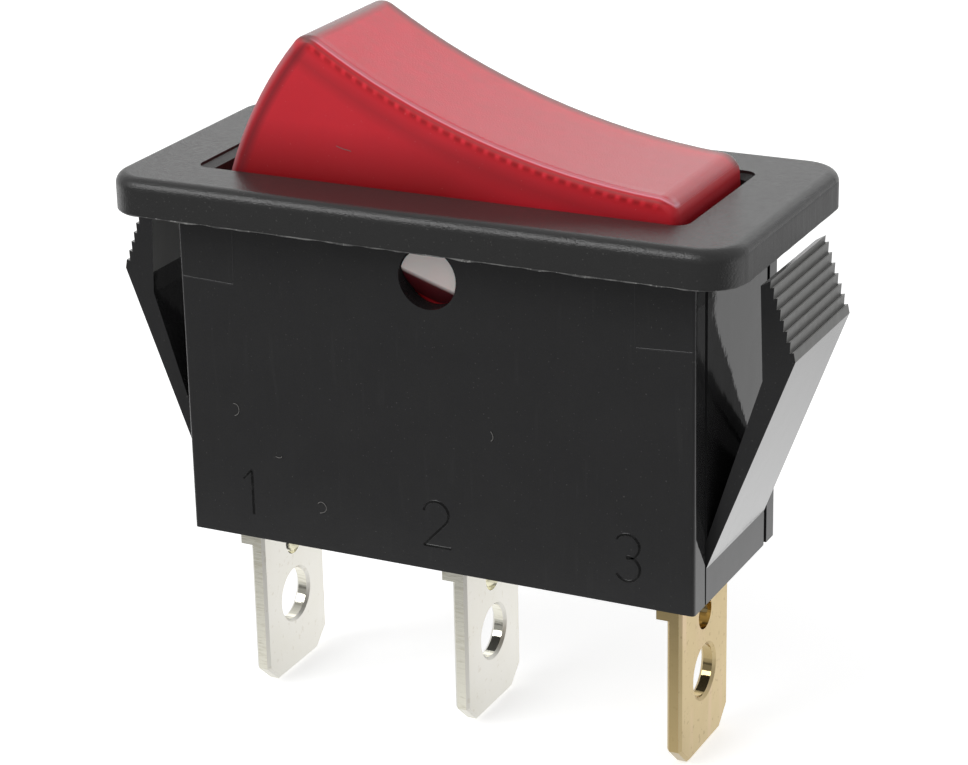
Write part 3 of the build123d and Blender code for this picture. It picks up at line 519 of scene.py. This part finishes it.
wire(relief(node, [(frost, 0.012 * MM), (mottle, 0.006 * MM)]), surface.inputs["Normal"])
wear(nodes["rocker"], red)

# Blades and lever: brass strip, silver plated and then cropped, so that the plating is drawn
# over the sheared edges only in part and they keep a warmer, streaked look.
SILVER_BAND_HEIGHT = -17.7 * MM
SILVER, YELLOWED_SILVER = (0.94, 0.925, 0.88, 1), (0.89, 0.87, 0.79, 1)
SHEARED_SILVER, BURR_BROWN = (0.95, 0.93, 0.80, 1), (0.52, 0.46, 0.30, 1)
SILVER_SPECK, SILVER_BAND_BROWN = (0.55, 0.48, 0.34, 1), (0.45, 0.34, 0.16, 1)
silvered, surface, node = new_finish("silvered_brass")
coords = node("TexCoord")
place = coords.outputs["Object"]
facing = node("SeparateXYZ", coords.outputs["Normal"])
spot = node("SeparateXYZ", place)
sheared = between(node, maths(node, "ABSOLUTE", facing.outputs["X"]), 0.6, 0.3)
rolled = grain(node, drawn_out(node, place, (1.0, 1.0, 0.05)), 0.12 * MM, 3.0, 0.6)
torn = grain(node, drawn_out(node, place, (0.15, 1.0, 1.0)), 0.14 * MM, 3.0, 0.6)
clouds = grain(node, place, 2.5 * MM, 3.0, 0.5)
specks = between(node, grain(node, place, 0.35 * MM, 2.0, 0.5), 0.64, 0.70)
tone = tint(node, clouds, SILVER, YELLOWED_SILVER)
tone = tint(node, maths(node, "MULTIPLY", specks, 0.18), tone, SILVER_SPECK)
tone = tint(node, maths(node, "MULTIPLY", sheared, 0.85), tone, SHEARED_SILVER)
burr = maths(node, "MULTIPLY", sheared, between(node, torn, 0.50, 0.70, 0.0, 0.28))
tone = tint(node, burr, tone, BURR_BROWN)
# A patchy darker brown band just under the body.
under_body_band = near(node, spot.outputs["Z"], SILVER_BAND_HEIGHT, 0.6 * MM)
under_body_band = maths(node, "MULTIPLY", under_body_band, between(node, clouds, 0.45, 0.6))
tone = tint(node, maths(node, "MULTIPLY", under_body_band, 0.55), tone, SILVER_BAND_BROWN)
wire(tone, surface.inputs["Base Color"])
surface.inputs["Metallic"].default_value = 1.0
flat_rough = between(node, clouds, 0.3, 0.7, 0.22, 0.34)
wire(node("Mix", sheared, flat_rough, 0.48).outputs[0], surface.inputs["Roughness"])
torn_edge = maths(node, "MULTIPLY", torn, sheared)
wire(
    relief(node, [(rolled, 0.003 * MM), (torn_edge, 0.008 * MM), (clouds, 0.02 * MM)]),
    surface.inputs["Normal"],
)
for name in ("terminal_switched", "terminal_common", "contact_lever"):
    wear(nodes[name], silvered)

# Lamp terminal: the same cropped strip left as bare brass, a little tarnished, with pinker
# veins along the rolling. Handling has left dark specks, and it is darker and browner in a patchy
# band just under the body.
BRASS_BAND_HEIGHT = -18.0 * MM
BRASS, TARNISHED_BRASS = (0.76, 0.62, 0.36, 1), (0.64, 0.50, 0.27, 1)
BRASS_VEIN, SHEARED_BRASS = (0.80, 0.60, 0.42, 1), (0.50, 0.38, 0.18, 1)
BRASS_SPECK, BRASS_BAND_BROWN = (0.34, 0.23, 0.10, 1), (0.30, 0.18, 0.07, 1)
brass, surface, node = new_finish("bare_brass")
coords = node("TexCoord")
place = coords.outputs["Object"]
facing = node("SeparateXYZ", coords.outputs["Normal"])
spot = node("SeparateXYZ", place)
sheared = between(node, maths(node, "ABSOLUTE", facing.outputs["X"]), 0.6, 0.3)
rolled = grain(node, drawn_out(node, place, (1.0, 1.0, 0.05)), 0.15 * MM, 3.0, 0.6)
veins = grain(node, drawn_out(node, place, (1.0, 1.0, 0.12)), 0.9 * MM, 2.0, 0.5)
clouds = grain(node, place, 2.2 * MM, 4.0, 0.55)
specks = between(node, grain(node, place, 0.28 * MM, 2.0, 0.5), 0.63, 0.70)
tone = tint(node, clouds, BRASS, TARNISHED_BRASS)
tone = tint(node, between(node, veins, 0.52, 0.68, 0.0, 0.45), tone, BRASS_VEIN)
tone = tint(node, maths(node, "MULTIPLY", specks, 0.35), tone, BRASS_SPECK)
tone = tint(node, maths(node, "MULTIPLY", sheared, 0.8), tone, SHEARED_BRASS)
# A patchy darker brown band just under the body.
under_body_band = near(node, spot.outputs["Z"], BRASS_BAND_HEIGHT, 0.7 * MM)
under_body_band = maths(node, "MULTIPLY", under_body_band, between(node, clouds, 0.4, 0.6))
tone = tint(node, maths(node, "MULTIPLY", under_body_band, 0.6), tone, BRASS_BAND_BROWN)
wire(tone, surface.inputs["Base Color"])
surface.inputs["Metallic"].default_value = 1.0
flat_rough = between(node, clouds, 0.3, 0.7, 0.24, 0.38)
wire(node("Mix", sheared, flat_rough, 0.45).outputs[0], surface.inputs["Roughness"])
wire(relief(node, [(rolled, 0.004 * MM), (clouds, 0.02 * MM)]), surface.inputs["Normal"])
wear(nodes["terminal_lamp"], brass)

# Contacts: solid silver rivets, closed over cold, with a faint grey bloom and the fine dents
# that the header's die leaves.
CONTACT_SILVER, BLOOM_GREY = (0.93, 0.92, 0.89, 1), (0.66, 0.62, 0.55, 1)
silver, surface, node = new_finish("contact_silver")
place = node("TexCoord").outputs["Object"]
bloom = grain(node, place, 0.7 * MM, 4.0, 0.6)
hammered = grain(node, place, 0.12 * MM, 2.0, 0.5)
wire(tint(node, bloom, CONTACT_SILVER, BLOOM_GREY), surface.inputs["Base Color"])
surface.inputs["Metallic"].default_value = 1.0
wire(between(node, bloom, 0.3, 0.7, 0.22, 0.42), surface.inputs["Roughness"])
wire(relief(node, [(hammered, 0.006 * MM)]), surface.inputs["Normal"])
for name in ("fixed_contact", "moving_contact"):
    wear(nodes[name], silver)

# Springs: round spring-steel wire, coiled with a closed turn at each end. Two carry the lamp's
# current up from the terminals to the rocker, and one presses the plunger down on the lever.
LAMP_WIRE, LAMP_TURNS = 0.25 * MM, 8
PLUNGER_WIRE, PLUNGER_TURNS = 0.28 * MM, 6
STEPS_PER_TURN, WIRE_SIDES = 28, 10
STEEL, HAZED_STEEL = (0.62, 0.61, 0.60, 1), (0.46, 0.44, 0.42, 1)
steel, surface, node = new_finish("spring_steel")
place = node("TexCoord").outputs["Object"]
drawn = grain(node, place, 0.08 * MM, 3.0, 0.6)
haze = grain(node, place, 0.8 * MM, 2.0, 0.5)
wire(tint(node, haze, STEEL, HAZED_STEEL), surface.inputs["Base Color"])
surface.inputs["Metallic"].default_value = 1.0
wire(between(node, drawn, 0.3, 0.7, 0.24, 0.38), surface.inputs["Roughness"])
wire(relief(node, [(drawn, 0.003 * MM)]), surface.inputs["Normal"])


def round_section(thickness, sides):
    """Points round a circle: half the thickness times cosine and sine."""
    around = np.linspace(0, 2 * np.pi, sides, endpoint=False)
    return thickness / 2 * np.stack([np.cos(around), np.sin(around)], axis=1)


def spring(name, foot, top, radius, wire_thickness, turns):
    """Round wire on a helix from foot to top: the axis point plus the radius turned about the
    axis. The rise goes by a wire's thickness over each end turn and evenly in between."""
    foot, top = np.array(foot), np.array(top)
    axis = (top - foot) / np.linalg.norm(top - foot)
    first = np.cross(axis, (0, 1, 0))
    first /= np.linalg.norm(first)
    second = np.cross(axis, first)
    turn = np.linspace(0, turns + 2, (turns + 2) * STEPS_PER_TURN + 1)
    rise = np.linalg.norm(top - foot)
    climb = np.interp(turn, [0, 1, turns + 1, turns + 2], [0, wire_thickness, rise - wire_thickness, rise])
    angle = 2 * np.pi * turn
    path = foot + climb[:, None] * axis
    path = path + radius * (np.cos(angle)[:, None] * first + np.sin(angle)[:, None] * second)
    piece = carried(name, path, round_section(wire_thickness, WIRE_SIDES), axis)
    piece.data.shade_smooth()
    wear(piece, steel)
    return piece


for letter in ("a", "b"):
    low, high = (np.array(corner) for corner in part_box("lamp_spring_" + letter))
    middle = (low + high) / 2
    foot = (middle[0], middle[1], low[2] + LAMP_WIRE / 2)
    top = (middle[0], middle[1], high[2] - LAMP_WIRE / 2)
    radius = (high[1] - low[1] - LAMP_WIRE) / 2
    coil = spring("lamp_coil_" + letter, foot, top, radius, LAMP_WIRE, LAMP_TURNS)
    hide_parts("lamp_spring_" + letter)
    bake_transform(coil)

tube_axis = np.array([np.sin(TILT), 0, np.cos(TILT)])
pivot = np.array([0, 0, PIVOT_HEIGHT])
SPRING_FOOT, SPRING_TOP, SPRING_RADIUS = -4.43 * MM, 4.43 * MM, 0.68 * MM
foot = pivot + SPRING_FOOT * tube_axis
top = pivot + SPRING_TOP * tube_axis
coil = spring("plunger_coil", foot, top, SPRING_RADIUS, PLUNGER_WIRE, PLUNGER_TURNS)
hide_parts("plunger_spring")
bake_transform(coil)

# Plunger: a pin of natural nylon, ivory and waxy, with faint turned rings. It slides in the
# tube under the rocker's top, and grease from the lever has rubbed its tip grey.
GREASE_TOP, GREASE_FULL = -8.2 * MM, -9.4 * MM
IVORY, DARK_IVORY, GREASE_GREY = (0.70, 0.66, 0.54, 1), (0.60, 0.55, 0.43, 1), (0.20, 0.17, 0.13, 1)
ivory, surface, node = new_finish("plunger_nylon")
place = node("TexCoord").outputs["Object"]
spot = node("SeparateXYZ", place)
wax = grain(node, place, 0.8 * MM, 3.0, 0.5)
rings = grain(node, drawn_out(node, place, (0.1, 0.1, 1.0)), 0.12 * MM, 2.0, 0.5)
grease = between(node, spot.outputs["Z"], GREASE_TOP, GREASE_FULL)
grease = maths(node, "MULTIPLY", grease, between(node, wax, 0.3, 0.7, 0.3, 0.8))
tone = tint(node, grease, tint(node, wax, IVORY, DARK_IVORY), GREASE_GREY)
wire(tone, surface.inputs["Base Color"])
wire(between(node, wax, 0.3, 0.7, 0.30, 0.42), surface.inputs["Roughness"])
surface.inputs["Subsurface Weight"].default_value = 0.2
surface.inputs["Subsurface Scale"].default_value = 0.4 * MM
wire(relief(node, [(rings, 0.004 * MM)]), surface.inputs["Normal"])
wear(nodes["plunger"], ivory)

# Lamp: a small bulb of blown glass, its outer end pinched flat on the two wires. A light grey
# film lines it, and it is pressed up into cradles under the rocker's top.
CLEAR_GLASS, FILMED_GLASS, SEED_GREY = (0.90, 0.92, 0.90, 1), (0.74, 0.74, 0.70, 1), (0.5, 0.5, 0.48, 1)
glass, surface, node = new_finish("bulb_glass")
place = node("TexCoord").outputs["Object"]
film = grain(node, place, 1.6 * MM, 3.0, 0.5)
seeds = between(node, grain(node, place, 0.2 * MM, 1.0, 0.4), 0.72, 0.78)
tone = tint(node, film, CLEAR_GLASS, FILMED_GLASS)
wire(tint(node, seeds, tone, SEED_GREY), surface.inputs["Base Color"])
surface.inputs["Transmission Weight"].default_value = 0.92
surface.inputs["IOR"].default_value = 1.47
wire(between(node, film, 0.3, 0.7, 0.03, 0.12), surface.inputs["Roughness"])
wear(nodes["lamp_bulb"], glass)

# Lamp wires: the lamp's two leads and the resistor's far one, in soft copper wire that was
# dipped in tin and has a slightly frosty skin.
TIN, DULL_TIN = (0.80, 0.79, 0.76, 1), (0.66, 0.62, 0.56, 1)
tinned, surface, node = new_finish("tinned_wire")
place = node("TexCoord").outputs["Object"]
dip = grain(node, place, 0.5 * MM, 3.0, 0.5)
frosty = grain(node, place, 0.06 * MM, 2.0, 0.6)
wire(tint(node, dip, TIN, DULL_TIN), surface.inputs["Base Color"])
surface.inputs["Metallic"].default_value = 1.0
wire(between(node, dip, 0.3, 0.7, 0.25, 0.40), surface.inputs["Roughness"])
wire(relief(node, [(frosty, 0.003 * MM)]), surface.inputs["Normal"])
for name in ("lamp_lead_a", "lamp_lead_b", "resistor_lead"):
    wear(nodes[name], tinned)

# Resistor: a ceramic rod in buff enamel, with four coloured rings for its value. It holds back
# the lamp's current, and is pressed up into a cradle of its own.
RESISTOR_START = 4.2 * MM
BUFF, DARK_BUFF = (0.62, 0.48, 0.30, 1), (0.52, 0.38, 0.22, 1)
RING_HALF = 0.26 * MM
RINGS = (
    (0.75 * MM, (0.50, 0.10, 0.02, 1)),
    (1.35 * MM, (0.48, 0.36, 0.02, 1)),
    (1.95 * MM, (0.24, 0.09, 0.03, 1)),
    (2.90 * MM, (0.50, 0.36, 0.12, 1)),
)
enamel, surface, node = new_finish("resistor_coating")
place = node("TexCoord").outputs["Object"]
level = node("Mapping", place, vector_type="POINT")
level.inputs["Rotation"].default_value = (0, -TILT, 0)
level.inputs["Location"].default_value = (PIVOT_HEIGHT * np.sin(TILT) - RESISTOR_START, 0, 0)
reach = node("SeparateXYZ", level.outputs[0]).outputs["X"]
glaze = grain(node, place, 0.6 * MM, 3.0, 0.5)
tone = tint(node, glaze, BUFF, DARK_BUFF)
for centre, colour in RINGS:
    tone = tint(node, between(node, near(node, reach, centre, RING_HALF), 0.2, 0.35), tone, colour)
wire(tone, surface.inputs["Base Color"])
wire(between(node, glaze, 0.3, 0.7, 0.18, 0.30), surface.inputs["Roughness"])
wire(relief(node, [(glaze, 0.02 * MM)]), surface.inputs["Normal"])
wear(nodes["lamp_resistor"], enamel)

# Lint: a few short grey fibres that cling to the front wall and the rocker's side. Each is a
# fine round thread that lies on the wall, with its ends curling off it.
FIBRE_THICK, FIBRE_CURL = 0.035 * MM, 0.05 * MM
FIBRE_SIDES = 6
PALE_FLUFF, DARK_FLUFF = (0.26, 0.255, 0.245, 1), (0.12, 0.115, 0.11, 1)
WALL_FIBRES = (
    ((-11.25, -10.3), (-11.0, -10.45), (-10.98, -10.75), (-11.2, -10.95)),
    ((-6.55, -15.05), (-6.25, -15.0), (-6.1, -15.3), (-6.45, -15.55)),
    ((-8.9, -12.85), (-8.7, -12.9), (-8.55, -12.8)),
    ((3.3, -9.6), (3.4, -9.9), (3.3, -10.1)),
)
ROCKER_FIBRE = ((-5.35, 3.62), (-5.05, 3.50), (-4.75, 3.45), (-4.55, 3.42))
fluff, surface, node = new_finish("lint")
place = node("TexCoord").outputs["Object"]
twist = grain(node, place, 0.1 * MM, 2.0, 0.5)
wire(tint(node, twist, PALE_FLUFF, DARK_FLUFF), surface.inputs["Base Color"])
surface.inputs["Roughness"].default_value = 0.8


def curved(points, count=24):
    """A smooth line through a few points: a cubic through each coordinate, by its place along."""
    points = np.array(points) * MM
    marks = np.arange(len(points))
    fine = np.linspace(0, len(points) - 1, count)
    order = min(3, len(points) - 1)
    return np.stack([np.polyval(np.polyfit(marks, points[:, i], order), fine) for i in range(2)], axis=1)


def fibre(name, points, wall_y):
    """A round fibre on a wall that faces forwards. It stands off by the curl times the cube of
    its distance from the middle, which goes from 0 to 1."""
    flat = curved(points)
    curl = FIBRE_CURL * np.abs(np.linspace(-1, 1, len(flat))) ** 3
    path = np.stack([flat[:, 0], wall_y - FIBRE_THICK / 2 - curl, flat[:, 1]], axis=1)
    piece = carried(name, path, round_section(FIBRE_THICK, FIBRE_SIDES), (0, -1, 0))
    piece.data.shade_smooth()
    wear(piece, fluff)
    return piece


fibres = joined("lint_on_wall", [fibre("fibre", points, -BODY_SIDE) for points in WALL_FIBRES])
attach(fibres, "housing")
rocker_lint = fibre("lint_on_rocker", ROCKER_FIBRE, -ROCKER_SIDE)
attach(rocker_lint, "rocker")

# Table: a plain pale floor under the blade tips. The camera sees it lifted towards white, and
# glossy and clear surfaces see a glow in it, dim in front of the switch and bright behind.
FLOOR = -27.47 * MM
FLOOR_WHITE, WHITE = (0.86, 0.86, 0.86, 1), (1, 1, 1, 1)
white, surface, node = new_finish("white_floor")
path = node("LightPath")
mirrored = maths(node, "MAXIMUM", path.outputs["Is Glossy Ray"], path.outputs["Is Transmission Ray"])
spot = node("SeparateXYZ", node("TexCoord").outputs["Object"])
surface.inputs["Base Color"].default_value = FLOOR_WHITE
surface.inputs["Roughness"].default_value = 0.7
lift = node("Emission", WHITE, maths(node, "MULTIPLY", path.outputs["Is Camera Ray"], 0.56))
matt = node("AddShader", surface.outputs[0], lift.outputs[0])
front_light = between(node, spot.outputs["Y"], -30 * MM, 8 * MM, 0.15, 1.08)
far_light = between(node, spot.outputs["Y"], 16 * MM, 45 * MM, 1.0, 0.74)
glow = node("Emission", WHITE, maths(node, "MULTIPLY", front_light, far_light))
shown = node("MixShader", mirrored, matt.outputs[0], glow.outputs[0])
wire(shown.outputs[0], white.node_tree.nodes["Material Output"].inputs["Surface"])
bpy.ops.mesh.primitive_plane_add(size=6, location=(0, 0, FLOOR))
floor = bpy.context.object
floor.name = "floor"
wear(floor, white)

# Surround and lamps: white to the camera, dimmer as light on the switch, and brighter behind
# the switch than in front where glossy and clear surfaces see it. Two soft boxes add to it, a
# key box at the front left and a weaker one behind.
world = bpy.data.worlds.new("surround")
bpy.context.scene.world = world
world.use_nodes = True
world.node_tree.nodes.clear()
node = node_maker(world.node_tree)
path = node("LightPath")
mirrored = maths(node, "MAXIMUM", path.outputs["Is Glossy Ray"], path.outputs["Is Transmission Ray"])
direction = node("SeparateXYZ", node("TexCoord").outputs["Generated"])
mirrored_light = node("Background", WHITE, between(node, direction.outputs["Y"], -0.4, 0.5, 0.30, 0.66))
even_light = node("Background", WHITE, 0.55)
seen_light = node("Background", WHITE, 1.0)
lit = node("MixShader", mirrored, even_light.outputs[0], mirrored_light.outputs[0])
shown = node("MixShader", path.outputs["Is Camera Ray"], lit.outputs[0], seen_light.outputs[0])
node("OutputWorld", shown.outputs[0])


def softbox(name, place, target, width, height, power):
    """A soft rectangular lamp aimed at a point."""
    data = bpy.data.lights.new(name, "AREA")
    data.shape = "RECTANGLE"
    data.size, data.size_y, data.energy = width, height, power
    lamp = bpy.data.objects.new(name, data)
    bpy.context.scene.collection.objects.link(lamp)
    away = (Vector(place) - Vector(target)).normalized()
    lamp.matrix_world = Matrix.Translation(place) @ away.to_track_quat("Z", "Y").to_matrix().to_4x4()


softbox("key_box", (-0.20, -0.30, 0.26), (0, 0, 0), 0.30, 0.22, 0.75)
softbox("back_box", (-0.06, 0.42, 0.20), (0, 0, 0), 0.50, 0.22, 0.18)

# Camera: a long lens a little above the switch and to its right. Its turn, its offsets from the
# switch along its own right, up and back, in millimetres, and its focal length in the photo's
# pixels were fitted to the edges that the photo shows.
AZIMUTH, ELEVATION, ROLL = np.radians((26.28245, 20.68079, -1.23907))
OFFSETS = (-0.43751, 8.82646, 147.85515)
FOCAL_PIXELS, PHOTO_WIDTH, SENSOR_WIDTH = 2977.864, 968, 36
level_reach = np.cos(ELEVATION)
back = np.array([np.sin(AZIMUTH) * level_reach, -np.cos(AZIMUTH) * level_reach, np.sin(ELEVATION)])
level_right = np.array([np.cos(AZIMUTH), np.sin(AZIMUTH), 0.0])
level_up = np.cross(back, level_right)
right = np.cos(ROLL) * level_right + np.sin(ROLL) * level_up
up = -np.sin(ROLL) * level_right + np.cos(ROLL) * level_up
lens_place = (-OFFSETS[0] * right - OFFSETS[1] * up + OFFSETS[2] * back) * MM
camera_data = bpy.data.cameras.new("camera")
camera_data.sensor_width = SENSOR_WIDTH
camera_data.lens = FOCAL_PIXELS / PHOTO_WIDTH * SENSOR_WIDTH
camera_data.clip_start = 0.01
camera = bpy.data.objects.new("camera", camera_data)
bpy.context.scene.collection.objects.link(camera)
turned = np.eye(4)
turned[:3, 0], turned[:3, 1], turned[:3, 2], turned[:3, 3] = right, up, back, lens_place
camera.matrix_world = Matrix(turned.tolist())
bpy.context.scene.camera = camera
bpy.context.scene.view_settings.view_transform = "Standard"
